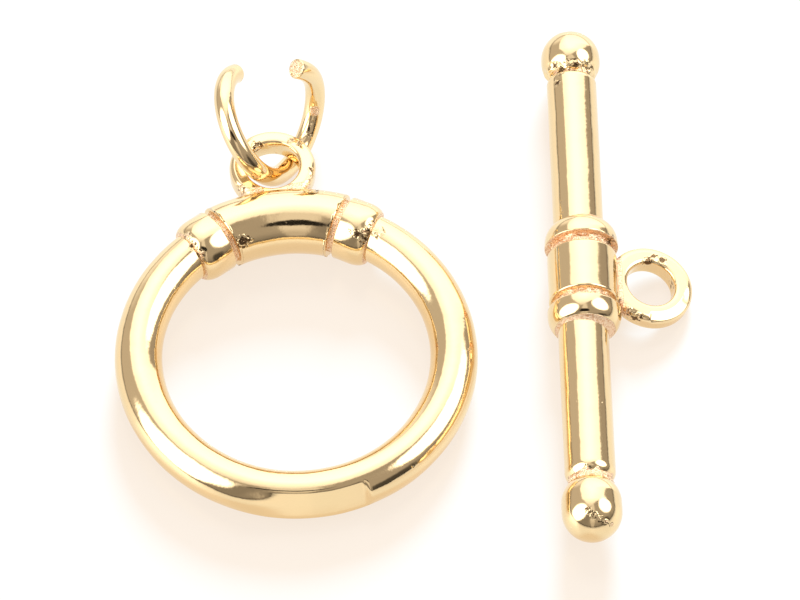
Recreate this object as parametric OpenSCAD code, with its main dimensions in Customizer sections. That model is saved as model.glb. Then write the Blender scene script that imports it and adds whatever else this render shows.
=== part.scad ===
// Toggle clasp in two loose halves, lying open: a ring half with an open jump ring, and a bar half.
// Millimetres, +Z up, the table at z = 0, the origin under the middle of the whole clasp.

/* [Ring] */
// Radius of the ring, from its centre to the middle of its tube
ring_mid_r = 6.94; // [6:0.02:9]
// Diameter of the ring's tube
ring_tube_d = 2.1; // [1.7:0.05:2.3]

/* [Ring sleeve] */
// Diameter of the sleeve round the ring's tube
ring_sleeve_d = 2.9; // [2.6:0.05:3.4]
// Angle from the loop to the middle of each collar, along the ring
ring_collar_turn = 30; // [26:0.5:36]
// Width of the narrow groove between the sleeve and each collar
ring_groove_w = 0.26; // [0.2:0.02:0.6]
// Diameter at the bottom of the grooves
ring_groove_d = 2.4; // [2.35:0.05:2.55]
// Diameter of the collar past each groove
ring_collar_d = 2.86; // [2.7:0.05:3.5]
// Length of each straight collar
ring_collar_len = 1.45; // [1.2:0.05:2]
// Rounding of the collars' edges towards the tube
ring_collar_round = 0.4; // [0.2:0.05:0.55]

/* [Ring loop] */
// Outer diameter of the loop soldered to the ring's sleeve
ring_loop_d = 3.86; // [3.5:0.02:4.4]
// Diameter of the hole in that loop
ring_loop_hole_d = 2.4; // [2.2:0.02:2.6]
// Thickness of that loop
ring_loop_t = 1.05; // [0.8:0.05:1.3]
// Depth that the loop sits in its sleeve
ring_loop_seat = 0.6; // [0.4:0.05:0.7]
// Droop of that loop about its sleeve, towards the table
ring_loop_droop = 3; // [0:0.5:5]

/* [Jump ring] */
// Diameter of the jump ring's wire
jump_wire_d = 0.9; // [0.7:0.02:1]
// Diameter inside the jump ring
jump_inner_d = 4.02; // [3.7:0.02:4.6]
// Space between the jump ring and the rim of the loop that it goes through
jump_play = 0.08; // [0.06:0.01:0.2]
// Angle at which the jump ring crosses the loop, anticlockwise from the right
jump_cross_turn = 47; // [40:1:55]
// Arc of the jump ring's high side, from the loop to its end
jump_high_arc = 178; // [160:1:182]
// Arc of the jump ring's low side, from the loop to the bend that opens it
jump_low_arc = 155; // [145:1:158]
// Arc of the low side past that bend, to its end
jump_tip_arc = 29; // [18:1:34]
// Lean of the high side about the wire
jump_high_lean = 3.5; // [0:0.5:6]
// Lean of the low side about the wire
jump_low_lean = 42; // [38:1:46]
// Twist of the wire at the bend
jump_tip_twist = 47; // [30:1:50]

/* [Bar] */
// Length of the bar between the centres of its end balls
bar_len = 23.45; // [20:0.05:28]
// Diameter of the bar's shaft
bar_shaft_d = 2.24; // [1.9:0.02:2.6]
// Diameter of the ball at each end
bar_ball_d = 2.66; // [2.64:0.02:3.1]
// Straight belt round the far ball
bar_far_belt = 0.14; // [0:0.02:0.6]
// Straight belt round the near ball, which is a little longer
bar_near_belt = 0.42; // [0:0.02:0.6]

/* [Bar sleeve] */
// Diameter of the sleeve round the middle of the bar
bar_sleeve_d = 3.1; // [2.9:0.05:3.6]
// Length of that sleeve
bar_sleeve_len = 2.45; // [2:0.05:3.6]
// Width of the narrow groove at each end of the sleeve
bar_groove_w = 0.42; // [0.2:0.02:0.6]
// Diameter at the bottom of the grooves
bar_groove_d = 2.7; // [2.65:0.05:2.85]
// Diameter of the collar past each groove
bar_collar_d = 3.28; // [3.1:0.02:3.8]
// Length of each collar
bar_collar_len = 1.05; // [0.9:0.05:2]
// Rounding of the collars' outer edges
bar_collar_round = 0.4; // [0.2:0.05:0.6]
// Shift of the sleeve and its collars off the shaft's middle, towards the loop
bar_sleeve_shift = 0.09; // [0:0.01:0.12]

/* [Bar loop] */
// Outer diameter of the loop soldered to the bar's sleeve
bar_loop_d = 3.9; // [3.5:0.02:4.4]
// Diameter of the hole in that loop
bar_loop_hole_d = 2.2; // [1.8:0.02:2.4]
// Thickness of that loop
bar_loop_t = 0.9; // [0.8:0.05:1.2]
// Depth that the loop sits in its sleeve
bar_loop_seat = 0.45; // [0.2:0.05:0.6]

/* [Loop edges] */
// Rounding of both loops' outer edges
loop_outer_round = 0.3; // [0.1:0.02:0.34]
// Rounding of both loops' hole edges
loop_hole_round = 0.16; // [0.05:0.01:0.2]

/* [How the halves lie] */
// Turn of the ring half on the table, its loop to the left
ring_turn = 6.7; // [0:0.1:20]
// Turn of the bar half on the table, its far end to the left
bar_turn = 1.5; // [0:0.1:8]
// Space between the ring and the bar's collars
halves_gap = 3.02; // [2:0.02:8]
// Distance that the bar's middle lies behind the ring's centre
bar_behind = 3.75; // [0:0.05:8]

/* [Hidden] */
$fn = 96;

gold = [0.86, 0.73, 0.50];
pale_gold = [0.90, 0.79, 0.58];

ring_tube_r = ring_tube_d / 2;
ring_sleeve_r = ring_sleeve_d / 2;
ring_collar_r = ring_collar_d / 2;
ring_loop_r = ring_loop_d / 2;
jump_wire_r = jump_wire_d / 2;
jump_mid_r = (jump_inner_d + jump_wire_d) / 2;
bar_sleeve_r = bar_sleeve_d / 2;
bar_collar_r = bar_collar_d / 2;
bar_loop_r = bar_loop_d / 2;
bar_ball_r = bar_ball_d / 2;

// Turns of a vector about the z, x and y axes
function turned(v, a) = [v.x * cos(a) - v.y * sin(a), v.x * sin(a) + v.y * cos(a), v.z];
function tipped(v, a) = [v.x, v.y * cos(a) - v.z * sin(a), v.y * sin(a) + v.z * cos(a)];
function rolled(v, a) = [v.x * cos(a) + v.z * sin(a), v.y, v.z * cos(a) - v.x * sin(a)];
function about(v, axis, a) =
    v * cos(a) + cross(axis, v) * sin(a) + axis * (axis * v) * (1 - cos(a));
function unit(v) = v / norm(v);

// The middle of a collar, on the chord that its stretch of tube spans
collar_out = sqrt(pow(ring_mid_r, 2) - pow(ring_collar_len / 2, 2));
ring_loop_arm = ring_sleeve_r + ring_loop_r - ring_loop_seat;

// The jump ring's wire in the loop's own frame: x right, y away from the ring, z up through the
// hole. It slopes just enough to clear the rims of the hole, and then bends away as two arcs on
// its low side and one on its high side.
rim_out = ring_loop_hole_d / 2 + loop_hole_round;
rim_up = ring_loop_t / 2 - loop_hole_round;
jump_slope = asin((jump_wire_r + loop_hole_round + jump_play) / norm([rim_out, rim_up]))
    + atan2(rim_up, rim_out);
hole_room = ring_loop_hole_d / 2 - jump_wire_r;
jump_step_a = 5;
jump_sides = 20;
jump_start = [0.07 * hole_room, -0.1 * hole_room, -0.33 * (ring_loop_t / 2 + jump_wire_r)];
jump_heading = turned([cos(jump_slope), 0, -sin(jump_slope)], jump_cross_turn);
jump_outward = unit(cross(jump_heading, cross([0, 1, 0], jump_heading)));

// An arc of wire: where it starts, its heading, the way to its centre and its sweep
function arc_at(arc, a) =
    arc[0] + jump_mid_r * (arc[1] * sin(a) + arc[2] * (1 - cos(a)));
function arc_heading(arc, a) = arc[1] * cos(a) + arc[2] * sin(a);
function arc_inward(arc, a) = arc[2] * cos(a) - arc[1] * sin(a);
low_arc = [jump_start, jump_heading, about(jump_outward, jump_heading, jump_low_lean),
    jump_low_arc];
bend_heading = arc_heading(low_arc, jump_low_arc);
tip_arc = [arc_at(low_arc, jump_low_arc), bend_heading,
    about(arc_inward(low_arc, jump_low_arc), bend_heading, -jump_tip_twist), jump_tip_arc];
high_arc = [jump_start, -jump_heading, about(jump_outward, jump_heading, jump_high_lean),
    jump_high_arc];

// Stations along the wire from the high side's end to the low side's: a point, the wire's heading
// there and a side of the wire that doesn't turn about it
function stations(arc, roll, way, from_step) =
    let (steps = ceil(arc[3] / jump_step_a))
        [for (k = [from_step:steps])
            let (a = arc[3] * k / steps)
                [arc_at(arc, a), way * arc_heading(arc, a),
                    about(arc_inward(arc, a), arc_heading(arc, a), roll)]];
function backwards(list) = [for (k = [len(list) - 1:-1:0]) list[k]];
jump_stations = concat(
    backwards(stations(high_arc, jump_high_lean - jump_low_lean, -1, 0)),
    stations(low_arc, 0, 1, 1),
    stations(tip_arc, jump_tip_twist, 1, 1));
jump_path = [for (s = jump_stations) s[0]];

// The ring half lies on its near side, tipped up by its collars or by the jump ring under its loop
function in_ring(v) = [0, ring_mid_r, 0] + tipped(v + [0, ring_loop_arm, 0], -ring_loop_droop);
collar_tip = asin((ring_collar_r - ring_tube_r) / (ring_mid_r + collar_out * cos(ring_collar_turn)));
jump_tip = max([for (p = jump_path)
    let (q = in_ring(p))
        asin((jump_wire_r - q.z - ring_tube_r) / (ring_mid_r + q.y))]);
ring_tip = max(collar_tip, jump_tip);
ring_centre_h = ring_tube_r + ring_mid_r * sin(ring_tip);
function from_ring(v) = turned(tipped(v, ring_tip), ring_turn) + [0, 0, ring_centre_h];
function from_ring_loop(v) = from_ring(in_ring(v));

// The bar half lies on its two collars, rolled until the edge of its loop meets the table
bar_loop_out = bar_sleeve_r + bar_loop_r - bar_loop_seat;
roll_arm = [bar_loop_out + bar_loop_r - loop_outer_round, bar_loop_t / 2 - loop_outer_round];
bar_roll = asin((bar_collar_r - loop_outer_round) / norm(roll_arm)) - atan2(roll_arm.y, roll_arm.x);
bar_at = [ring_mid_r + ring_tube_r + halves_gap + bar_collar_r, bar_behind, bar_collar_r];
function from_bar(v) = turned(rolled(v, bar_roll), bar_turn) + bar_at;

// How far a ring or a disc with a rounded edge reaches in direction u
function reach(u, centre, normal, r, half_t, edge) =
    centre * u + r * sqrt(max(0, 1 - pow(normal * u, 2))) + abs(half_t * (normal * u)) + edge;
ring_normal = from_ring([0, 0, 1]) - from_ring([0, 0, 0]);
ring_loop_normal = from_ring_loop([0, 0, 1]) - from_ring_loop([0, 0, 0]);
bar_normal = from_bar([0, 0, 1]) - from_bar([0, 0, 0]);
bar_far_end = from_bar([-bar_sleeve_shift, (bar_len + bar_far_belt) / 2, 0]);
bar_near_end = from_bar([-bar_sleeve_shift, -(bar_len + bar_near_belt) / 2, 0]);
function furthest(u) = max([
    reach(u, from_ring([0, 0, 0]), ring_normal, ring_mid_r, 0, ring_tube_r),
    reach(u, from_ring_loop([0, 0, 0]), ring_loop_normal, ring_loop_r - loop_outer_round,
        ring_loop_t / 2 - loop_outer_round, loop_outer_round),
    reach(u, from_bar([bar_loop_out, 0, 0]), bar_normal, bar_loop_r - loop_outer_round,
        bar_loop_t / 2 - loop_outer_round, loop_outer_round),
    bar_far_end * u + bar_ball_r,
    bar_near_end * u + bar_ball_r,
    max([for (p = jump_path) from_ring_loop(p) * u]) + jump_wire_r]);
middle = [(furthest([1, 0, 0]) - furthest([-1, 0, 0])) / 2,
    (furthest([0, 1, 0]) - furthest([0, -1, 0])) / 2, 0];

// Puts its children, drawn about the ring's centre with the loop towards +y, where the ring lies
module at_ring() {
    translate([0, 0, ring_centre_h] - middle)
        rotate([0, 0, ring_turn])
            rotate([ring_tip, 0, 0])
                children();
}

// Puts its children, drawn about the ring's loop with the ring towards -y, where that loop goes
module at_ring_loop() {
    translate([0, ring_mid_r, 0])
        rotate([-ring_loop_droop, 0, 0])
            translate([0, ring_loop_arm, 0])
                children();
}

// Puts its children, drawn about the bar's sleeve along y with the loop towards +x, in place
module at_bar() {
    translate(bar_at - middle)
        rotate([0, 0, bar_turn])
            rotate([0, bar_roll, 0])
                children();
}

// A stretch of bent rod round the ring's middle line, as far on both sides of the loop
module bent_rod(d, half_a) {
    rotate([0, 0, 90 - half_a])
        rotate_extrude(angle = 2 * half_a)
            translate([ring_mid_r, 0])
                circle(d = d);
}

// Puts its children, drawn along z with the loop's side below, at both collars of the ring
module at_collars() {
    for (side = [-1, 1])
        rotate([0, 0, side * ring_collar_turn])
            translate([0, collar_out, 0])
                rotate([0, -side * 90, 0])
                    children();
}

// A straight collar along z, with its upper edge rounded
module collar(d, len, edge_r) {
    translate([0, 0, -len / 2])
        cylinder(d = d, h = len - edge_r);
    translate([0, 0, -len / 2])
        cylinder(d = d - 2 * edge_r, h = len);
    translate([0, 0, len / 2 - edge_r])
        rotate_extrude()
            translate([d / 2 - edge_r, 0])
                circle(r = edge_r);
}

// A flat loop with rounded edges and a round hole, about the z axis
module loop(d, hole_d, t) {
    hole_r = hole_d / 2;
    inner_x = hole_r + loop_hole_round;
    outer_x = d / 2 - loop_outer_round;
    inner_y = t / 2 - loop_hole_round;
    outer_y = t / 2 - loop_outer_round;
    rotate_extrude() {
        translate([inner_x, -t / 2])
            square([outer_x - inner_x, t]);
        translate([hole_r, -inner_y])
            square([inner_x - hole_r, 2 * inner_y]);
        translate([outer_x, -outer_y])
            square([loop_outer_round, 2 * outer_y]);
        for (side = [-1, 1]) {
            translate([inner_x, side * inner_y])
                circle(r = loop_hole_round);
            translate([outer_x, side * outer_y])
                circle(r = loop_outer_round);
        }
    }
}

// The room in a loop's hole, which its sleeve must not fill
module loop_hole(hole_d, t) {
    cylinder(d = hole_d, h = t, center = true);
}

// The sleeve on the ring's tube, cut off square to the collars with a groove's width to spare
module ring_sleeve() {
    spare = 2 * ring_sleeve_d;
    difference() {
        bent_rod(ring_sleeve_d, ring_collar_turn);
        at_collars()
            translate([0, 0, spare / 2 - ring_collar_len / 2 - ring_groove_w])
                cube(spare, center = true);
    }
}

// The ring with its sleeve, grooves, collars and loop, soldered into one piece
module toggle_ring() {
    color(gold)
        at_ring()
            difference() {
                union() {
                    rotate_extrude()
                        translate([ring_mid_r, 0])
                            circle(d = ring_tube_d);
                    bent_rod(ring_groove_d, ring_collar_turn);
                    ring_sleeve();
                    at_collars()
                        collar(ring_collar_d, ring_collar_len, ring_collar_round);
                    at_ring_loop()
                        loop(ring_loop_d, ring_loop_hole_d, ring_loop_t);
                }
                at_ring_loop()
                    loop_hole(ring_loop_hole_d, ring_loop_t);
            }
}

// The opened wire ring through the ring's loop, swept along its stations
module jump_ring() {
    last = len(jump_stations) - 1;
    points = [for (s = jump_stations) for (k = [0:jump_sides - 1])
        let (a = 360 * k / jump_sides)
            s[0] + jump_wire_r * (s[2] * cos(a) + cross(s[1], s[2]) * sin(a))];
    walls = [for (i = [0:last - 1]) for (k = [0:jump_sides - 1])
        let (near = i * jump_sides, next = (k + 1) % jump_sides)
            [near + k, near + jump_sides + k, near + jump_sides + next, near + next]];
    first_cap = [for (k = [0:jump_sides - 1]) k];
    last_cap = [for (k = [jump_sides - 1:-1:0]) last * jump_sides + k];
    color(pale_gold)
        at_ring()
            at_ring_loop()
                polyhedron(points, concat(walls, [first_cap, last_cap]));
}

// A length of round rod along y, centred on its own middle
module rod(d, len) {
    rotate([90, 0, 0])
        cylinder(d = d, h = len, center = true);
}

// A ball with a straight belt, about the z axis
module belted_ball(d, belt) {
    rotate_extrude()
        intersection() {
            union() {
                for (side = [-1, 1])
                    translate([0, side * belt / 2])
                        circle(d = d);
                square([d, belt], center = true);
            }
            translate([0, -d - belt])
                square([d, 2 * (d + belt)]);
        }
}

// The bar with its balls, sleeve, grooves, collars and loop, soldered into one piece
module toggle_bar() {
    collar_mid = (bar_sleeve_len + bar_collar_len) / 2 + bar_groove_w;
    color(gold)
        at_bar()
            difference() {
                union() {
                    translate([-bar_sleeve_shift, 0, 0]) {
                        rod(bar_shaft_d, bar_len);
                        for (ball = [[bar_len / 2, bar_far_belt], [-bar_len / 2, bar_near_belt]])
                            translate([0, ball[0], 0])
                                rotate([90, 0, 0])
                                    belted_ball(bar_ball_d, ball[1]);
                    }
                    rod(bar_groove_d, 2 * collar_mid);
                    rod(bar_sleeve_d, bar_sleeve_len);
                    for (side = [-1, 1])
                        translate([0, side * collar_mid, 0])
                            rotate([-side * 90, 0, 0])
                                collar(bar_collar_d, bar_collar_len, bar_collar_round);
                    translate([bar_loop_out, 0, 0])
                        loop(bar_loop_d, bar_loop_hole_d, bar_loop_t);
                }
                translate([bar_loop_out, 0, 0])
                    loop_hole(bar_loop_hole_d, bar_loop_t);
            }
}

toggle_ring();
jump_ring();
toggle_bar();
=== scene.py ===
"""Looks of the toggle clasp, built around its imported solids. Lengths in the sections are millimetres."""
import math

import bmesh
import bpy
from mathutils import Matrix, Vector, noise


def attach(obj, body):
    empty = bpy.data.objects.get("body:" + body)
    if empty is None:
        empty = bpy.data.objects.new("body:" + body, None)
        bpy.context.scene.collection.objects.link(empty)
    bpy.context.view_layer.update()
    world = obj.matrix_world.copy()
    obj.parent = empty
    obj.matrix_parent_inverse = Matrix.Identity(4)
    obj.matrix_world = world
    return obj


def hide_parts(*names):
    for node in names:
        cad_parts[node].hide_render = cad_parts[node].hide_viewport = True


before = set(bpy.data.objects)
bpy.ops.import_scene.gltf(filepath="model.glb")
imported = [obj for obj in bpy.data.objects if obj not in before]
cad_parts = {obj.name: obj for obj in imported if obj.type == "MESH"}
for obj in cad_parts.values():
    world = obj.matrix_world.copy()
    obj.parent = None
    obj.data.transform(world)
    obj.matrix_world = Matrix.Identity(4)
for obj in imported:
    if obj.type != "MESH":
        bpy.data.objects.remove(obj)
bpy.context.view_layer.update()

# The camera: a long lens, looking down at the two halves as they lie
MM = 0.001
LOOK_AT = Vector((-0.20939, 0.09225, 0.0))
LOOK_DOWN = math.radians(57.49)
LOOK_FROM = 300.0
FOCAL_LENGTH = 303.75
camera_data = bpy.data.cameras.new("camera")
camera_data.sensor_width = 36
camera_data.lens = FOCAL_LENGTH
camera = bpy.data.objects.new("camera", camera_data)
bpy.context.scene.collection.objects.link(camera)
back = Vector((0, -math.cos(LOOK_DOWN), math.sin(LOOK_DOWN)))
camera.location = (LOOK_AT + LOOK_FROM * back) * MM
camera.rotation_euler = (math.pi / 2 - LOOK_DOWN, 0, 0)
bpy.context.scene.camera = camera
bpy.context.scene.view_settings.view_transform = "Standard"


# The table: a plain matt sheet that is white only by painted light. It glows by itself, warm and brightest
# near the clasp and dimmer far off, so that the shade on it stays faint and warm.
TABLE_HALF = 1.5
TABLE_UNDER = 0.01
TABLE_PAINTED_GLOW = (0.865, 0.765, 0.665, 1)
TABLE_FAR_PAINTED_GLOW = (0.43, 0.37, 0.32, 1)
GLOW_KEPT = 24.0
GLOW_GONE = 60.0


def material(name):
    made = bpy.data.materials.new(name)
    made.use_nodes = True
    return made, made.node_tree.nodes["Principled BSDF"]


class Signal:
    """A socket of a material or of the room, on which sums and products add Math nodes."""

    def __init__(self, tree, socket):
        self.tree = tree
        self.socket = socket

    def node(self, kind, settings=None, inputs=None, out=0):
        made = self.tree.nodes.new("ShaderNode" + kind)
        for key, value in (settings or {}).items():
            if key == "ramp":
                stops = made.color_ramp.elements
                while len(stops) < len(value):
                    stops.new(0.5)
                for stop, (at, colour) in zip(stops, value):
                    stop.position = at
                    stop.color = colour
            else:
                setattr(made, key, value)
        for key, value in (inputs or {}).items():
            if isinstance(value, Signal):
                self.tree.links.new(value.socket, made.inputs[key])
            else:
                made.inputs[key].default_value = value
        return Signal(self.tree, made.outputs[out])

    def math(self, operation, first, second):
        return self.node("Math", {"operation": operation}, {0: first, 1: second})

    def __add__(self, other):
        return self.math("ADD", self, other)

    __radd__ = __add__

    def __mul__(self, other):
        return self.math("MULTIPLY", self, other)

    __rmul__ = __mul__

    def __sub__(self, other):
        return self.math("SUBTRACT", self, other)

    def __rsub__(self, other):
        return self.math("SUBTRACT", other, self)

    def step(self, low, high):
        """0 below low, 1 above high, smooth between."""
        return self.node("MapRange", {"interpolation_type": "SMOOTHSTEP"},
                         {"Value": self, "From Min": low, "From Max": high})

    def noise(self, scale, detail=2.0, roughness=0.5):
        return self.node("TexNoise", {}, {"Vector": self, "Scale": scale, "Detail": detail,
                                          "Roughness": roughness})

    def mix(self, first, second):
        """The second colour where this mask is 1."""
        return self.node("Mix", {"data_type": "RGBA"}, {0: self, 6: first, 7: second}, 2)


table_paint, table_shader = material("painted_glow_table")
table_tree = table_paint.node_tree
spot = Signal(table_tree, table_tree.nodes.new("ShaderNodeTexCoord").outputs["Object"])
off = spot.node("VectorMath", {"operation": "LENGTH"}, {0: spot}, 1)
# Painted light: the table's own warm glow, kept near the clasp and fading to a dimmer glow far off
painted_glow = off.step(GLOW_KEPT * MM, GLOW_GONE * MM).mix(TABLE_PAINTED_GLOW, TABLE_FAR_PAINTED_GLOW)
table_tree.links.new(painted_glow.socket, table_shader.inputs["Emission Color"])
table_shader.inputs["Emission Strength"].default_value = 1.0
table_shader.inputs["Base Color"].default_value = (0.05, 0.05, 0.05, 1)
table_shader.inputs["Roughness"].default_value = 0.3
table_shader.inputs["Specular IOR Level"].default_value = 0.3
sheet = bmesh.new()
bmesh.ops.create_grid(sheet, x_segments=1, y_segments=1, size=TABLE_HALF)
table_mesh = bpy.data.meshes.new("table")
sheet.to_mesh(table_mesh)
sheet.free()
table_mesh.materials.append(table_paint)
table = bpy.data.objects.new("table", table_mesh)
table.location = (0, 0, -TABLE_UNDER * MM)
bpy.context.scene.collection.objects.link(table)


# The light: a bright tent behind and overhead that narrows towards the camera, a soft box at each
# side, a pale front with the dark lens in it, and dim surroundings. All of it is the world's
# colour. A pale blue lamp that isn't mirrored in the gold leaves a warm shade on the table.

# Each oval: the way to it, its half angles across and up in degrees, and the softness of its rim
PALE_FRONT = ((0.0, -0.707, 0.707), 9, 50, 0.25)
DARK_RIGHT = ((0.74, -0.66, 0.16), 14, 13, 0.45)
DIM_LEFT = ((-0.42, -0.75, 0.5), 14, 27, 0.5)
LEFT_SOFT_BOX = ((-0.775, -0.31, 0.55), 24, 34, 0.2)
RIGHT_SOFT_BOX = ((0.726, 0.07, 0.68), 24, 24, 0.2)
LENS = ((-0.01, -0.605, 0.796), 14, 9.5, 0.2)
WALLS = 0.64
EAST_WALL_DIMMER = 0.2
FRONT = 0.3
FRONT_TOP_BRIGHTER = 0.17
FAR_WALL = 1.15
PALE_FRONT_GLOW = 0.66
PALE_FRONT_TOP_BRIGHTER = 0.28
DARK_RIGHT_GLOW = 0.08
DIM_LEFT_GLOW = 0.3
SOFT_BOX_GLOW = 3.4
LENS_GLOW = 0.02
TENT_GLOW = 2.35
TENT_RIM_SHARE = 0.74
HORIZON_SHARE = 0.45
DIM_TINT = (1, 0.91, 0.84, 1)
BRIGHT_TINT = (1, 0.995, 0.985, 1)
# The tent's lower edges are lines on a level ceiling, each a slope and a start. From front to back
# its brightness follows a ramp, whose stops are shares of the ramp's length and of TENT_GLOW.
TENT_LEFT_NEAR = (0.72, 0.33)
TENT_LEFT_FAR = (0.12, 0.87)
TENT_RIGHT = (1.16, 0.04)
TENT_EDGE_SOFT = 0.08
TENT_RIM_WIDE = 0.75
TENT_RAMP = ((0.0, 0.43), (0.05, 0.46), (0.09, 0.62), (0.124, 0.78), (0.225, 0.957), (0.8, 0.81))
TENT_RAMP_FROM = -0.5
TENT_RAMP_LONG = 5

world = bpy.data.worlds.new("room")
world.use_nodes = True
room = world.node_tree
way = Signal(room, room.nodes.new("ShaderNodeTexCoord").outputs["Generated"])
east = way.node("SeparateXYZ", {}, {0: way}, 0)
north = way.node("SeparateXYZ", {}, {0: way}, 1)
up = way.node("SeparateXYZ", {}, {0: way}, 2)


def toward(vector):
    return way.node("VectorMath", {"operation": "DOT_PRODUCT"}, {0: way, 1: tuple(vector)}, 1)


def oval(centre, wide, tall, soft):
    """An oval of sky around a direction: 1 inside, 0 outside."""
    centre = Vector(centre).normalized()
    side = centre.cross(Vector((0, 0, 1))).normalized()
    top = side.cross(centre)
    ahead = way.math("MAXIMUM", toward(centre), 0.01)
    u = way.math("DIVIDE", toward(side / math.tan(math.radians(wide))), ahead)
    v = way.math("DIVIDE", toward(top / math.tan(math.radians(tall))), ahead)
    return 1 - (u * u + v * v).step((1 - soft) ** 2, (1 + soft) ** 2)


def over(under, mask, value):
    return under + mask * (value - under)


def line(slope, start):
    return sky_y * slope + start


# Places on the level ceiling, across and away, in ceiling heights
ceiling = way.math("MAXIMUM", up, 0.02)
sky_x = way.math("DIVIDE", east, ceiling)
sky_y = way.math("DIVIDE", north, ceiling)
right_of_left = sky_x + way.math("MINIMUM", line(*TENT_LEFT_NEAR), line(*TENT_LEFT_FAR))
left_of_right = line(*TENT_RIGHT) - sky_x
tent = (right_of_left.step(-TENT_EDGE_SOFT, TENT_EDGE_SOFT)
        * left_of_right.step(-TENT_EDGE_SOFT, TENT_EDGE_SOFT) * up.step(-0.02, 0.02))
inner_tent = right_of_left.step(0, TENT_RIM_WIDE) * left_of_right.step(0, TENT_RIM_WIDE)
tent_share = sky_y.node("ValToRGB", {"ramp": [(at, (share,) * 3 + (1,)) for at, share in TENT_RAMP]},
                        {0: (sky_y - TENT_RAMP_FROM) * (1 / TENT_RAMP_LONG)})
tent_glow = tent_share * TENT_GLOW * (TENT_RIM_SHARE + inner_tent * (1 - TENT_RIM_SHARE))
front = 1 - north.step(-0.25, -0.02)
high_up = up.step(0.25, 0.6)

light = WALLS - (east + 0.2).step(0, 0.5) * EAST_WALL_DIMMER
light = over(light, front, FRONT + up.step(0.05, 0.5) * FRONT_TOP_BRIGHTER)
light = over(light, north.step(0.62, 0.85) * (1 - high_up), FAR_WALL)
light = over(light, oval(*PALE_FRONT), PALE_FRONT_GLOW + high_up * PALE_FRONT_TOP_BRIGHTER)
light = over(light, oval(*DARK_RIGHT), DARK_RIGHT_GLOW)
light = over(light, oval(*DIM_LEFT), DIM_LEFT_GLOW)
light = over(light, tent, tent_glow)
light = over(light, oval(*LEFT_SOFT_BOX), SOFT_BOX_GLOW)
light = over(light, oval(*RIGHT_SOFT_BOX), SOFT_BOX_GLOW)
light = over(light, oval(*LENS), LENS_GLOW)
light = light * (HORIZON_SHARE + up.step(0.01, 0.13) * (1 - HORIZON_SHARE))
tint = light.step(0.5, 1.4).mix(DIM_TINT, BRIGHT_TINT)
room.links.new(tint.socket, room.nodes["Background"].inputs["Color"])
room.links.new(light.socket, room.nodes["Background"].inputs["Strength"])
bpy.context.scene.world = world

# The lamp's glow is that of its disc, so its size changes only how soft the shade is
SHADE_WAY = Vector((0.1, 0.88, 0.46))
SHADE_SIZE = 0.36
SHADE_GLOW = 400
SHADE_COLOUR = (0.34, 0.70, 1.0)
shade = bpy.data.lights.new("shade_lamp", "AREA")
shade.shape = "DISK"
shade.size = SHADE_SIZE
shade.color = SHADE_COLOUR
shade.energy = SHADE_GLOW * SHADE_SIZE ** 2 / 4 * math.pi ** 2
shade_lamp = bpy.data.objects.new("shade_lamp", shade)
shade_lamp.location = SHADE_WAY
shade_lamp.rotation_euler = SHADE_WAY.to_track_quat("Z", "Y").to_euler()
shade_lamp.visible_glossy = False
bpy.context.scene.collection.objects.link(shade_lamp)


# The ring half: a cast brass ring, with a bent sleeve and two straight collars slipped over the
# tube and soldered, and a flat loop soldered to the sleeve. All of it is polished and gold plated.
# It lies on its near side and on the jump ring's wire under its loop, which tips it up.
RING_R = 6.94
TUBE_R = 1.05
SLEEVE_R = 1.45
SLEEVE_EDGE = 0.09
GROOVE_R = 1.2
GROOVE_W = 0.26
COLLAR_R = 1.43
COLLAR_LEN = 1.45
COLLAR_TURN = math.radians(30)
COLLAR_OUT = math.sqrt(RING_R ** 2 - (COLLAR_LEN / 2) ** 2)
LOOP_R = 1.93
LOOP_HOLE_R = 1.2
LOOP_T = 1.05
LOOP_SEAT = 0.6
LOOP_ARM = SLEEVE_R + LOOP_R - LOOP_SEAT
LOOP_DROOP = math.radians(3)
STUB_INSET = 0.03
EDGE_ROUND = 0.3
HOLE_ROUND = 0.16
# How the ring half lies in the frame, as part.scad works it out: its turn, its tip and the middle
# of its tube's circle
RING_TURN = math.radians(6.7)
RING_TIP = math.radians(2.06368)
RING_AT = Vector((-4.77139, -3.67775, TUBE_R + RING_R * math.sin(RING_TIP)))
ring_place = (Matrix.Translation(RING_AT) @ Matrix.Rotation(RING_TURN, 4, "Z")
              @ Matrix.Rotation(RING_TIP, 4, "X"))
loop_in_ring = (Matrix.Translation((0, RING_R, 0)) @ Matrix.Rotation(-LOOP_DROOP, 4, "X")
                @ Matrix.Translation((0, LOOP_ARM, 0)))

GOLD = (0.85, 0.67, 0.38, 1)
GOLD_WARM = (0.87, 0.655, 0.38, 1)
CAST = (0.99, 0.77, 0.55, 1)
CAST_DARK = (0.72, 0.39, 0.19, 1)
# Painted shade: the near-black colour laid in the troughs of the wrinkles at flaws
CREVICE_SHADE = (0.16, 0.10, 0.05, 1)
POLISHED = 0.09
CAST_ROUGHER = 0.22
# Heights of the skin in micrometres, from the broad waves of polishing to the folds of solder
WAVE_H = 14.0
NICK_H = 6.0
PEEL_H = 0.9
PIT_H = 2.0
GRAIN_H = 45.0
WRINKLE_H = 90.0
MICROMETRE = 0.000001
# Shares of granular cast skin at the soldered places
GROOVE_CAST = 1.0
COLLAR_CAST = 0.6
LOOP_FOOT_CAST = 0.55
LOOP_HOLE_CAST = 0.35
# The radius to which each turned piece is hollow, out of sight in the metal
INSIDE_R = 0.3
COLLAR_INSIDE_R = 0.4


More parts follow.
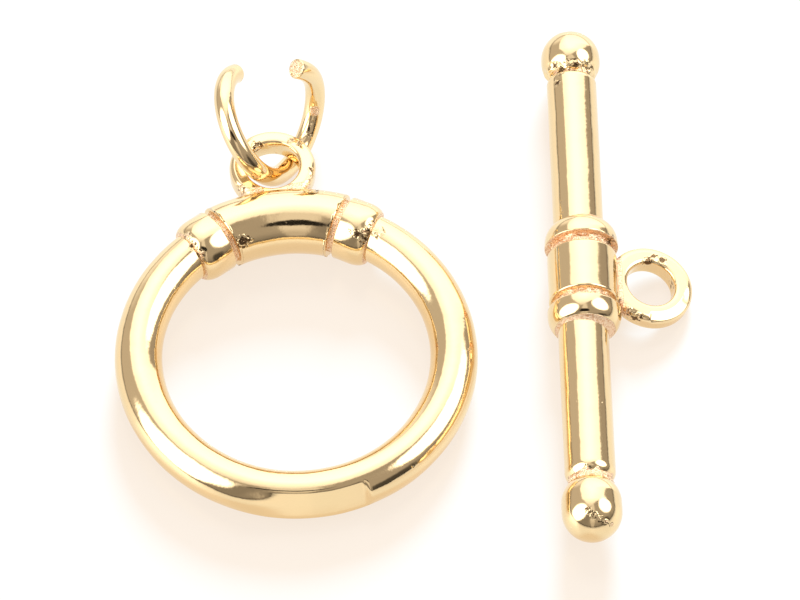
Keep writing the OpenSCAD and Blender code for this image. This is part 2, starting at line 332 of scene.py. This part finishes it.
def plated(name, shift):
    """Polished gold plating over brass: mirror bright with faint waves and pits, and granular pinkish cast
    metal left where the polishing wheel doesn't reach. Painted shade darkens the troughs of the wrinkles
    at flaws."""
    made, shader = material(name)
    tree = made.node_tree
    place = Signal(tree, tree.nodes.new("ShaderNodeTexCoord").outputs["Object"])
    mm = place.node("Mapping", {}, {"Vector": place, "Scale": (1 / MM,) * 3, "Location": (shift,) * 3})
    seam = place.node("Attribute", {"attribute_name": "seam"}, {}, 2)
    flaw = place.node("Attribute", {"attribute_name": "flaw"}, {}, 2)
    patches = mm.noise(3.2, detail=3.0, roughness=0.6)
    grains = mm.noise(14.0, detail=3.0, roughness=0.65)
    wrinkles = mm.noise(5.0)
    pits = mm.node("TexVoronoi", {"feature": "F1"}, {"Vector": mm, "Scale": 1.7}).step(0.03, 0.09)
    rough = (seam + (patches - 0.5) * 0.7).step(0.42, 0.62)
    wrinkled = (flaw + (patches - 0.5) * 1.1).step(0.25, 0.6)
    shaded_middle = flaw.step(0.86, 0.94)
    height = (mm.noise(0.7, detail=1.0) * WAVE_H + mm.noise(2.2, detail=3.0) * NICK_H
              + mm.noise(3.5) * PEEL_H + pits * PIT_H + rough * grains * GRAIN_H
              + wrinkled * (wrinkles - 0.5) * WRINKLE_H)
    tone = mm.noise(0.35).mix(GOLD, GOLD_WARM)
    skin = rough.mix(tone, grains.step(0.35, 0.6).mix(CAST_DARK, CAST))
    # Painted shade in the troughs of the wrinkles, filling the middle of the strongest flaws
    painted_crease_shade = wrinkled * (1 - (wrinkles - shaded_middle * 0.3).step(0.43, 0.48))
    tree.links.new(painted_crease_shade.mix(skin, CREVICE_SHADE).socket, shader.inputs["Base Color"])
    tree.links.new((POLISHED + rough * CAST_ROUGHER).socket, shader.inputs["Roughness"])
    bump = place.node("Bump", {}, {"Height": height, "Strength": 1.0, "Distance": MICROMETRE})
    tree.links.new(bump.socket, shader.inputs["Normal"])
    shader.inputs["Metallic"].default_value = 1.0
    return made


def smooth(low, high, value):
    """0 below low, 1 above high, smooth between."""
    share = min(1, max(0, (value - low) / (high - low)))
    return share * share * (3 - 2 * share)


def lathe(points, bevels=(), steps=96):
    """A closed shape turned about z from (radius, height) points, its corners bevelled."""
    made = bmesh.new()
    corners = [made.verts.new((radius, 0, height)) for radius, height in points]
    edges = [made.edges.new((a, b)) for a, b in zip(corners, corners[1:] + corners[:1])]
    bmesh.ops.spin(made, geom=corners + edges, cent=(0, 0, 0), axis=(0, 0, 1),
                   angle=2 * math.pi, steps=steps, use_merge=True)
    for index, width, segments in bevels:
        radius, height = points[index]
        near = [e for e in made.edges if all(
            abs(math.hypot(v.co.x, v.co.y) - radius) < 1e-4 and abs(v.co.z - height) < 1e-4
            for v in e.verts)]
        bmesh.ops.bevel(made, geom=near, offset=width, offset_type="OFFSET", affect="EDGES",
                        segments=segments, profile=0.5, material=-1)
    bmesh.ops.recalc_face_normals(made, faces=made.faces)
    return made


def bent(radius, rod_r, span, steps, sides):
    """A closed stretch of bent rod about z, its middle on +y, or a whole ring of it."""
    whole = span == 2 * math.pi
    made = bmesh.new()
    turn = Matrix.Rotation(-span / 2, 4, "Z") @ Matrix.Translation((0, radius, 0))
    turn = turn @ Matrix.Rotation(math.pi / 2, 4, "Y")
    ring = bmesh.ops.create_circle(made, cap_ends=False, segments=sides, radius=rod_r, matrix=turn)
    rim = list({e for v in ring["verts"] for e in v.link_edges})
    bmesh.ops.spin(made, geom=ring["verts"] + rim, cent=(0, 0, 0), axis=(0, 0, 1),
                   angle=span, steps=steps, use_merge=whole)
    if not whole:
        bmesh.ops.holes_fill(made, edges=[e for e in made.edges if e.is_boundary])
    bmesh.ops.recalc_face_normals(made, faces=made.faces)
    return made


def cut(made, point, normal, width, segments):
    """Cuts off what lies past a plane, closes the end and rounds its rim."""
    bmesh.ops.bisect_plane(made, geom=made.verts[:] + made.edges[:] + made.faces[:], dist=1e-6,
                           plane_co=point, plane_no=normal, clear_outer=True)
    open_edges = [e for e in made.edges if e.is_boundary]
    bmesh.ops.holes_fill(made, edges=open_edges)
    bmesh.ops.bevel(made, geom=open_edges, offset=width, offset_type="OFFSET", affect="EDGES",
                    segments=segments, profile=0.5, material=-1)


def mark(piece, weight):
    """Sets each vertex's share of cast skin from a function of its place."""
    layer = piece.verts.layers.float.get("seam") or piece.verts.layers.float.new("seam")
    for v in piece.verts:
        v[layer] = max(v[layer], weight(v.co))


def add(whole, piece, place, seam=0.0):
    """Moves a finished piece into place and joins it to the whole, with its share of cast skin."""
    mark(piece, lambda co: seam)
    bmesh.ops.transform(piece, matrix=place, verts=piece.verts)
    held = bpy.data.meshes.new("held")
    piece.to_mesh(held)
    piece.free()
    whole.from_mesh(held)
    bpy.data.meshes.remove(held)


def roughen(piece, size, grain, share=lambda co: 1.0):
    """Moves vertices along their normals by noise."""
    piece.normal_update()
    moves = [(v, v.normal * size * share(v.co) * noise.noise(v.co * grain)) for v in piece.verts]
    for v, move in moves:
        v.co += move


def evened(made, verts, rounds):
    """Smooths some of a mesh's vertices."""
    for _ in range(rounds):
        bmesh.ops.smooth_vert(made, verts=verts, factor=0.5, use_axis_x=True, use_axis_y=True,
                              use_axis_z=True)


def soldered(shells, voxel, rounds, near):
    """One skin over several closed shells, with its inner corners filled as solder fills them."""
    both = bmesh.new()
    for shell in shells:
        add(both, shell, Matrix())
    mesh = bpy.data.meshes.new("soldered")
    both.to_mesh(mesh)
    both.free()
    held = bpy.data.objects.new("soldered", mesh)
    bpy.context.scene.collection.objects.link(held)
    skin = held.modifiers.new("skin", "REMESH")
    skin.mode = "VOXEL"
    skin.voxel_size = voxel
    bpy.context.view_layer.update()
    made = bmesh.new()
    made.from_mesh(held.evaluated_get(bpy.context.evaluated_depsgraph_get()).to_mesh())
    bpy.data.objects.remove(held)
    bpy.data.meshes.remove(mesh)
    evened(made, made.verts, rounds=4)
    evened(made, [v for v in made.verts if near(v.co)], rounds)
    return made


def finish(name, whole, paint, slot, wave, flaws):
    """Makes the object of a whole node, with faint waves from hand polishing and with flaws."""
    seam = whole.verts.layers.float.get("seam")
    flaw = whole.verts.layers.float.new("flaw")
    for *place, reach, wrinkled, granular in flaws:
        at = Vector(place)
        for v in whole.verts:
            away = (v.co - at).length / reach
            if away < 1:
                share = 1 - away ** 3
                v[flaw] = max(v[flaw], wrinkled * share)
                v[seam] = max(v[seam], granular * share)
    whole.normal_update()
    moves = [(v, v.normal * wave * (noise.noise(v.co * 0.45) + 0.4 * noise.noise(v.co * 1.3)))
             for v in whole.verts]
    for v, move in moves:
        v.co += move
    bmesh.ops.scale(whole, vec=(MM, MM, MM), verts=whole.verts)
    for face in whole.faces:
        face.smooth = len(face.verts) < 5
    mesh = bpy.data.meshes.new(name)
    whole.to_mesh(mesh)
    whole.free()
    mesh.materials.append(paint)
    made = bpy.data.objects.new(name, mesh)
    bpy.context.scene.collection.objects.link(made)
    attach(made, "root")
    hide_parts(slot)


# The tube, with the flat that polishing left on its near side. It faces out and up, starts gently
# on the left and ends sharply on the right, both in degrees along the ring from its nearest point.
FLAT_WAY = math.radians(25)
FLAT_HALF = math.radians(43)
FLAT_SOFT = 0.018
FLAT_START = (-29, -9)
FLAT_END = (17.0, 17.9)
ring = bmesh.new()
tube = bent(RING_R, TUBE_R, 2 * math.pi, steps=432, sides=76)
for v in tube.verts:
    around = math.atan2(v.co.z, v.co.xy.length - RING_R) - FLAT_WAY
    along = math.degrees(math.atan2(v.co.x, -v.co.y))
    share = smooth(*FLAT_START, along) * (1 - smooth(*FLAT_END, along))
    if share > 0 and abs(around) < FLAT_HALF:
        deep = TUBE_R * (1 - math.cos(FLAT_HALF) / math.cos(around))
        kept = 1 - share * deep ** 2 / (deep + FLAT_SOFT) / TUBE_R
        middle = v.co.xy.normalized().to_3d() * RING_R
        v.co = middle + (v.co - middle) * kept
add(ring, tube, ring_place)

core = bent(RING_R, GROOVE_R, 2 * COLLAR_TURN, steps=150, sides=64)
roughen(core, size=0.07, grain=7.0)
add(ring, core, ring_place, seam=GROOVE_CAST)

sleeve = bent(RING_R, SLEEVE_R, 2 * COLLAR_TURN, steps=72, sides=72)
for side in (-1, 1):
    across = Matrix.Rotation(side * COLLAR_TURN, 3, "Z")
    away = across @ Vector((-side, 0, 0))
    end = across @ Vector((0, COLLAR_OUT, 0)) - away * (COLLAR_LEN / 2 + GROOVE_W)
    cut(sleeve, end, away, SLEEVE_EDGE, segments=3)
add(ring, sleeve, ring_place)


def groove_rim(radius, half):
    """A collar's rim at the groove, as (radius, height) points."""
    return [(radius - 0.05, -half), (radius - 0.015, 0.012 - half)]


def round_end(radius, half, drop, length, steps=16):
    """A collar's outline: straight from its rim at the groove, then rounded down at the other end."""
    turns = [math.pi / 2 * k / steps for k in range(steps + 1)]
    return groove_rim(radius, half) + [(radius, 0.04 - half)] + [
        (radius - drop * (1 - math.cos(a)), half - length * (1 - math.sin(a))) for a in turns]


for side in (-1, 1):
    half = COLLAR_LEN / 2
    collar = lathe([(COLLAR_INSIDE_R, -half)] + round_end(COLLAR_R, half, drop=0.31, length=0.68) + [
        (TUBE_R - 0.12, half + 0.06), (COLLAR_INSIDE_R, half + 0.06)])
    mark(collar, lambda co: COLLAR_CAST if co.z > half - 0.04 or co.z < 0.02 - half else 0.0)
    place = (Matrix.Rotation(side * COLLAR_TURN, 4, "Z") @ Matrix.Translation((0, COLLAR_OUT, 0))
             @ Matrix.Rotation(-side * math.pi / 2, 4, "Y"))
    add(ring, collar, ring_place @ place)


def washer(outer, inner, thick):
    """A flat loop about z with rounded rims."""
    top = thick / 2
    return lathe([(inner, -top), (outer, -top), (outer, top), (inner, top)],
                 [(1, EDGE_ROUND, 6), (2, EDGE_ROUND, 6), (0, HOLE_ROUND, 4), (3, HOLE_ROUND, 4)],
                 steps=128)


def root_of(seat_y, reach):
    """Tells what lies near the corner between a loop and its sleeve, in the loop's frame."""
    return lambda co: co.y < seat_y + reach


# The loop is soldered to a short stub that lies just inside the sleeve
loop = washer(LOOP_R, LOOP_HOLE_R, LOOP_T)
stub = bent(RING_R, SLEEVE_R - STUB_INSET, math.radians(34), steps=40, sides=64)
bmesh.ops.transform(stub, matrix=loop_in_ring.inverted(), verts=stub.verts)
loop = soldered([loop, stub], voxel=0.05, rounds=8, near=root_of(SLEEVE_R - LOOP_ARM, reach=0.22))
mark(loop, lambda co: LOOP_FOOT_CAST
     if abs(co.y + LOOP_ARM - SLEEVE_R) < 0.22 and abs(co.x) > 0.5 else
     (LOOP_HOLE_CAST if math.hypot(co.x, co.y) < LOOP_HOLE_R + 0.05 else 0.0))
add(ring, loop, ring_place @ loop_in_ring)

# Where each flaw is, x y z, its reach, and its shares of wrinkles (with painted shade in their troughs)
# and of granular cast skin
RING_FLAWS = [
    # Pits on the sleeve, at its left end and on its back
    (-7.16, 1.62, 2.45, 0.4, 1.0, 0.0),
    (-6.85, 1.66, 2.45, 0.24, 1.0, 0.0),
    (-5.88, 2.33, 2.74, 0.2, 0.2, 0.0),
    # Solder about the loop's foot, and wrinkles in its hole
    (-6.56, 7.00, 1.90, 0.4, 0.8, 0.2),
    (-7.34, 4.73, 1.85, 0.4, 0.7, 0.55),
    (-4.12, 4.24, 2.59, 0.45, 0.7, 0.5),
    (-4.20, 5.74, 2.00, 0.17, 1.0, 0.0),
    (-4.20, 5.30, 1.90, 0.35, 0.3, 0.5),
    (-5.13, 7.25, 2.01, 0.3, 0.4, 0.5),
    (-4.70, 7.12, 2.00, 0.25, 0.5, 0.4),
    # Solder between the left collar and the tube
    (-9.59, 1.72, 2.71, 0.3, 0.6, 0.6),
    (-9.32, 1.25, 2.62, 0.3, 0.8, 0.5),
    (-9.00, 0.91, 2.50, 0.3, 0.7, 0.6),
    # Solder between the right collar and the tube
    (-2.11, 1.86, 2.67, 0.26, 1.0, 0.0),
    (-1.80, 1.64, 2.51, 0.32, 0.7, 0.5),
    (-1.71, 1.95, 2.68, 0.34, 0.8, 0.5),
    (-1.45, 2.29, 2.66, 0.3, 0.8, 0.5),
    (-1.18, 2.05, 2.53, 0.4, 0.7, 0.45),
    # Small rough spots along the tube, on the left and on the right
    (-9.66, 0.14, 2.22, 0.2, 0.3, 0.45),
    (-10.09, -0.63, 2.12, 0.2, 0.3, 0.4),
    (2.74, -1.81, 2.00, 0.2, 0.35, 0.4),
    (2.86, -3.82, 2.06, 0.22, 0.4, 0.3),
    (1.05, -9.00, 1.55, 0.25, 0.4, 0.4),
    (0.36, -9.52, 1.74, 0.22, 0.35, 0.35)]
finish("ring_half", ring, plated("ring_gold", shift=0), "toggle_ring", wave=0.012, flaws=RING_FLAWS)


# The jump ring: round brass wire, cut from a coil and bent wide open, with plain sawn ends. It
# passes through the ring's loop and is closed by hand round the chain's last link.
WIRE_R = 0.45
WIRE_BEND = 2.46
WIRE_PLAY = 0.08
WIRE_EDGE = 0.05
SAWN_CAST = 0.55
WIRE_CROSS_TURN = math.radians(47)
LOW_ARC = math.radians(155)
LOW_LEAN = math.radians(42)
TIP_ARC = math.radians(29)
TIP_TWIST = math.radians(-47)
HIGH_ARC = math.radians(178)
HIGH_LEAN = math.radians(3.5)

# Where the wire crosses the loop's hole, its heading there, and the way out of the hole
rim = Vector((LOOP_HOLE_R + HOLE_ROUND, LOOP_T / 2 - HOLE_ROUND))
slope = math.asin((WIRE_R + HOLE_ROUND + WIRE_PLAY) / rim.length) + math.atan2(rim.y, rim.x)
hole_room = LOOP_HOLE_R - WIRE_R
start = Vector((0.07 * hole_room, -0.1 * hole_room, -0.33 * (LOOP_T / 2 + WIRE_R)))
heading = (Matrix.Rotation(WIRE_CROSS_TURN, 3, "Z")
           @ Vector((math.cos(slope), 0, -math.sin(slope))))
outward = heading.cross(Vector((0, 1, 0)).cross(heading)).normalized()


def arc(start, heading, inward, sweep, steps):
    """Points, headings and ways to the centre along an arc of wire."""
    for k in range(steps + 1):
        a = sweep * k / steps
        yield (start + WIRE_BEND * (heading * math.sin(a) + inward * (1 - math.cos(a))),
               heading * math.cos(a) + inward * math.sin(a),
               inward * math.cos(a) - heading * math.sin(a))


def leaned(vector, axis, angle):
    return Matrix.Rotation(angle, 3, axis) @ vector


low = list(arc(start, heading, leaned(outward, heading, LOW_LEAN), LOW_ARC, steps=62))
bend, bend_heading, inward = low[-1]
tip = list(arc(bend, bend_heading, leaned(inward, bend_heading, TIP_TWIST), TIP_ARC, steps=12))
high = list(arc(start, -heading, leaned(outward, heading, HIGH_LEAN), HIGH_ARC, steps=71))
path = [(p, -h) for p, h, _ in reversed(high)] + [(p, h) for p, h, _ in low[1:] + tip[1:]]

wire = bmesh.new()
first = path[0][1].to_track_quat("Z", "Y").to_matrix().to_4x4()
first.translation = path[0][0]
bmesh.ops.create_circle(wire, cap_ends=True, segments=48, radius=WIRE_R, matrix=first)
edge = wire.edges[:]
for (at, before), (to, after) in zip(path, path[1:]):
    grown = bmesh.ops.extrude_edge_only(wire, edges=edge)["geom"]
    verts = [g for g in grown if isinstance(g, bmesh.types.BMVert)]
    edge = [g for g in grown if isinstance(g, bmesh.types.BMEdge)]
    turn = before.rotation_difference(after).to_matrix().to_4x4()
    bmesh.ops.transform(wire, verts=verts,
                        matrix=Matrix.Translation(to) @ turn @ Matrix.Translation(-at))
bmesh.ops.holes_fill(wire, edges=[e for e in wire.edges if e.is_boundary])
ends = [f for f in wire.faces if len(f.verts) > 4]
bmesh.ops.bevel(wire, geom=list({e for f in ends for e in f.edges}), offset=WIRE_EDGE,
                offset_type="OFFSET", affect="EDGES", segments=2, profile=0.5, material=-1)
bmesh.ops.recalc_face_normals(wire, faces=wire.faces)
sawn = wire.verts.layers.float.new("seam")
for v in {v for f in wire.faces if len(f.verts) > 4 for v in f.verts}:
    v[sawn] = SAWN_CAST
jump = bmesh.new()
add(jump, wire, ring_place @ loop_in_ring)

JUMP_FLAWS = [
    # The low end's sawn face and the wire below it
    (-4.03, 8.96, 1.88, 0.34, 0.3, 0.75),
    (-4.16, 8.55, 1.37, 0.35, 0.35, 0.1),
    (-4.34, 8.26, 1.16, 0.35, 0.4, 0.0),
    # Near the high end, and the other end's sawn face
    (-7.98, 7.09, 4.71, 0.35, 0.2, 0.0),
    (-4.75, 9.25, 4.78, 0.4, 0.7, 0.0)]
finish("open_jump_ring", jump, plated("wire_gold", shift=7), "jump_ring", wave=0.006,
       flaws=JUMP_FLAWS)


# The bar half: a straight turned bar with a ball at each end, its middle in a sleeve between two
# collars, and a flat loop soldered to the sleeve's side for the chain's other end. It lies on its
# collars, rolled until the edge of its loop meets the table.
SHAFT_R = 1.12
SHAFT_SHIFT = -0.09
BAR_HALF = 23.45 / 2
BALL_R = 1.33
NECK_R = 0.98
NEAR_END = 1.38
FAR_END = 1.2
NEAR_BELT = 0.42
FAR_BELT = 0.14
LIP = 0.4
BAR_SLEEVE_R = 1.55
BAR_SLEEVE_HALF = 2.45 / 2
BAR_GROOVE_R = 1.35
BAR_GROOVE_W = 0.42
BAR_COLLAR_R = 1.64
BAR_COLLAR_LEN = 1.05
BAR_LOOP_R = 1.95
BAR_HOLE_R = 1.1
BAR_LOOP_T = 0.9
BAR_LOOP_SEAT = 0.45
BAR_LOOP_ARM = BAR_SLEEVE_R + BAR_LOOP_R - BAR_LOOP_SEAT
STUB_HALF = 1.15
NECK_CAST = 0.62
FAR_BALL_CAST = 0.4
BAR_COLLAR_CAST = 0.66
BAR_LOOP_FOOT_CAST = 0.75
BAR_LOOP_HOLE_CAST = 0.3
HALVES_GAP = 3.02
BAR_BEHIND = 3.75
BAR_TURN = math.radians(1.5)
roll_arm = Vector((BAR_LOOP_ARM + BAR_LOOP_R - EDGE_ROUND, BAR_LOOP_T / 2 - EDGE_ROUND))
BAR_ROLL = (math.asin((BAR_COLLAR_R - EDGE_ROUND) / roll_arm.length)
            - math.atan2(roll_arm.y, roll_arm.x))
BAR_AT = Vector((RING_AT.x + RING_R + TUBE_R + HALVES_GAP + BAR_COLLAR_R, RING_AT.y + BAR_BEHIND,
                 BAR_COLLAR_R))
bar_place = (Matrix.Translation(BAR_AT) @ Matrix.Rotation(BAR_TURN, 4, "Z")
             @ Matrix.Rotation(BAR_ROLL, 4, "Y"))
upright = Matrix.Rotation(-math.pi / 2, 4, "X")
on_shaft = bar_place @ Matrix.Translation((SHAFT_SHIFT, 0, 0)) @ upright
bar = bmesh.new()

# The shaft: its near end is drawn in to a soft lip, and its far end is cut plain
near, far = NEAR_END - BAR_HALF, BAR_HALF - FAR_END
outline = [(INSIDE_R, near), (SHAFT_R - 0.2, near), (SHAFT_R - 0.17, near + 0.015)]
outline += [(SHAFT_R - 0.16 * (1 - k / 8) ** 2.2, near + 0.03 + LIP * k / 8) for k in range(9)]
outline += [(SHAFT_R, near + LIP + 0.03 + (far - near - LIP - 0.13) * k / 150)
            for k in range(1, 151)]
outline += [(SHAFT_R - 0.03, far - 0.03), (SHAFT_R - 0.1, far), (INSIDE_R, far)]
add(bar, lathe(outline), on_shaft)


def straight(radius, low, high, pieces, steps=96):
    """A plain turned rod from one height to another, in short rings that noise can move."""
    return lathe([(INSIDE_R, low)]
                 + [(radius, low + (high - low) * k / pieces) for k in range(pieces + 1)]
                 + [(INSIDE_R, high)], steps=steps)


for side, belt, length in ((1, FAR_BELT, FAR_END), (-1, NEAR_BELT, NEAR_END)):
    neck = straight(NECK_R, 0, length + 0.2, pieces=24)
    roughen(neck, size=0.1, grain=4.5)
    at_end = Matrix.Translation((0, 0, side * BAR_HALF))
    flip = Matrix.Rotation(math.pi if side > 0 else 0, 4, "X")
    add(bar, neck, on_shaft @ at_end @ flip, seam=NECK_CAST)
    end = bmesh.new()
    bmesh.ops.create_uvsphere(end, u_segments=144, v_segments=72, radius=BALL_R)
    for v in end.verts:
        v.co.z += math.copysign(belt / 2, v.co.z) if abs(v.co.z) > 0.03 else 0
    if side > 0:
        mark(end, lambda co: FAR_BALL_CAST * min(1, max(0, (-co.z - 0.5) / 0.4)))
        roughen(end, size=0.14, grain=2.8, share=lambda co: smooth(0.45, 0.85, -co.z))
    add(bar, end, on_shaft @ at_end)

for side in (-1, 1):
    middle = side * (BAR_SLEEVE_HALF + BAR_GROOVE_W / 2)
    core = straight(BAR_GROOVE_R, middle - 0.4, middle + 0.4, pieces=16, steps=160)
    roughen(core, size=0.09, grain=6.0)
    add(bar, core, bar_place @ upright, seam=GROOVE_CAST)

# The sleeve has many rings, so that its bevelled edges don't bend the shading between them
plain = BAR_SLEEVE_HALF - 0.12
sleeve = lathe([(INSIDE_R, -BAR_SLEEVE_HALF), (BAR_SLEEVE_R, -BAR_SLEEVE_HALF)]
               + [(BAR_SLEEVE_R, plain * (k / 10 - 1)) for k in range(21)]
               + [(BAR_SLEEVE_R, BAR_SLEEVE_HALF), (INSIDE_R, BAR_SLEEVE_HALF)],
               [(1, SLEEVE_EDGE, 3), (23, SLEEVE_EDGE, 3)], steps=120)
add(bar, sleeve, bar_place @ upright)


def barrel(radius, half, drop, share, steps=20):
    """A collar's outline: its rim at the groove, then a curve that falls towards the other end."""
    start, end = 0.04 - half, half * (2 * share - 1)
    return groove_rim(radius, half) + [
        (radius - drop * (k / steps) ** 3, start + (end - start) * k / steps)
        for k in range(steps + 1)]


for side in (-1, 1):
    half = BAR_COLLAR_LEN / 2
    collar = lathe([(COLLAR_INSIDE_R, -half)] + barrel(BAR_COLLAR_R, half, drop=0.25, share=0.87) + [
        (BAR_COLLAR_R - 0.32, half - 0.1), (SHAFT_R + 0.08, half), (SHAFT_R - 0.02, half + 0.14),
        (SHAFT_R - 0.15, half + 0.3), (COLLAR_INSIDE_R, half + 0.3)])
    mark(collar, lambda co: BAR_COLLAR_CAST if co.z > half * 0.76 or co.z < 0.02 - half else 0.0)
    middle = side * (BAR_SLEEVE_HALF + BAR_GROOVE_W + half)
    add(bar, collar, bar_place @ Matrix.Translation((0, middle, 0))
        @ Matrix.Rotation(-side * math.pi / 2, 4, "X"))

loop_in_bar = Matrix.Translation((BAR_LOOP_ARM, 0, 0)) @ Matrix.Rotation(-math.pi / 2, 4, "Z")
loop = washer(BAR_LOOP_R, BAR_HOLE_R, BAR_LOOP_T)
stub = lathe([(INSIDE_R, -STUB_HALF), (BAR_SLEEVE_R - STUB_INSET, -STUB_HALF),
              (BAR_SLEEVE_R - STUB_INSET, STUB_HALF), (INSIDE_R, STUB_HALF)])
bmesh.ops.transform(stub, matrix=loop_in_bar.inverted() @ upright, verts=stub.verts)
loop = soldered([loop, stub], voxel=0.045, rounds=10,
                near=root_of(BAR_SLEEVE_R - BAR_LOOP_ARM, reach=0.2))

# The facets that polishing left on the loop's near edge: each one's tilt from the loop's flat,
# and where it starts, in from the loop's edge and down from its top
FACETS = ((math.radians(22), 0.46, 0.0), (math.radians(60), 0.08, 0.15))
FACETS_START = (-4.5, -3)
FACETS_END = (65, 95)
for tilt, inset, drop in FACETS:
    for v in loop.verts:
        out = math.hypot(v.co.x, v.co.y)
        turn = math.degrees(math.atan2(v.co.y, v.co.x))
        facing = Vector((v.co.x / out * math.sin(tilt), v.co.y / out * math.sin(tilt),
                         math.cos(tilt)))
        past = facing.dot(v.co) - ((BAR_LOOP_R - inset) * math.sin(tilt)
                                   + (BAR_LOOP_T / 2 - drop) * math.cos(tilt))
        if past > 0:
            v.co -= facing * past * smooth(*FACETS_START, turn) * (1 - smooth(*FACETS_END, turn))
mark(loop, lambda co: BAR_LOOP_FOOT_CAST if abs(co.y + BAR_LOOP_ARM - BAR_SLEEVE_R) < 0.16 else
     (BAR_LOOP_HOLE_CAST if math.hypot(co.x, co.y) < BAR_HOLE_R + 0.05 else 0.0))
add(bar, loop, bar_place @ loop_in_bar)

BAR_FLAWS = [
    # The streak of solder over the near ball, and a speck at its left
    (7.98, -12.54, 2.80, 0.1, 1.0, 0.0),
    (8.22, -12.72, 2.66, 0.09, 1.0, 0.0),
    (8.74, -12.81, 2.36, 0.09, 1.0, 0.0),
    (7.89, -12.49, 2.82, 0.22, 0.8, 0.3),
    (8.15, -12.64, 2.74, 0.24, 0.8, 0.3),
    (8.41, -12.75, 2.60, 0.22, 0.8, 0.4),
    (8.67, -12.80, 2.42, 0.2, 0.9, 0.5),
    (8.94, -12.78, 2.14, 0.18, 0.8, 0.5),
    (7.17, -12.78, 1.89, 0.1, 0.8, 0.3),
    # The near end of the shaft
    (7.97, -10.26, 2.71, 0.3, 0.5, 0.3),
    (7.59, -10.14, 2.60, 0.22, 0.3, 0.2),
    # Solder round the foot of the far ball, and a drop of it on the shaft
    (6.81, 10.98, 2.50, 0.3, 0.8, 0.1),
    (7.26, 10.96, 2.73, 0.26, 0.8, 0.1),
    (7.62, 10.95, 2.75, 0.28, 0.85, 0.1),
    (8.07, 10.98, 2.62, 0.3, 0.8, 0.1),
    (8.34, 10.92, 2.34, 0.34, 0.85, 0.1),
    (6.98, 10.63, 2.61, 0.35, 0.8, 0.5),
    (7.53, 10.86, 2.68, 0.35, 0.6, 0.4),
    (6.84, 10.02, 2.56, 0.28, 0.7, 0.0),
    # Specks along the shaft, and the far collar's foot
    (7.11, 6.50, 2.65, 0.08, 0.5, 0.0),
    (8.15, 7.25, 2.65, 0.08, 0.3, 0.0),
    (6.94, 3.72, 2.50, 0.09, 0.5, 0.0),
    (7.02, 3.10, 2.55, 0.12, 0.5, 0.0),
    (8.59, -6.83, 2.59, 0.09, 0.5, 0.0),
    (8.63, 1.75, 2.99, 0.3, 0.4, 0.5),
    (9.18, 1.75, 2.34, 0.4, 0.5, 0.6),
    # Wrinkles in the loop's hole, and solder about its foot
    (10.80, 1.28, 1.27, 0.34, 1.0, 0.1),
    (11.43, 1.46, 1.17, 0.3, 1.0, 0.1),
    (11.11, 1.51, 1.25, 0.3, 0.8, 0.1),
    (11.86, 0.45, 0.68, 0.45, 0.5, 0.3),
    (9.73, -1.39, 1.34, 0.45, 0.8, 0.6),
    (10.17, -1.65, 1.25, 0.4, 0.8, 0.5),
    (9.49, 0.59, 1.69, 0.3, 0.3, 0.5),
    (9.46, -0.95, 1.64, 0.35, 0.5, 0.6)]
finish("bar_half", bar, plated("bar_gold", shift=3), "toggle_bar", wave=0.01, flaws=BAR_FLAWS)
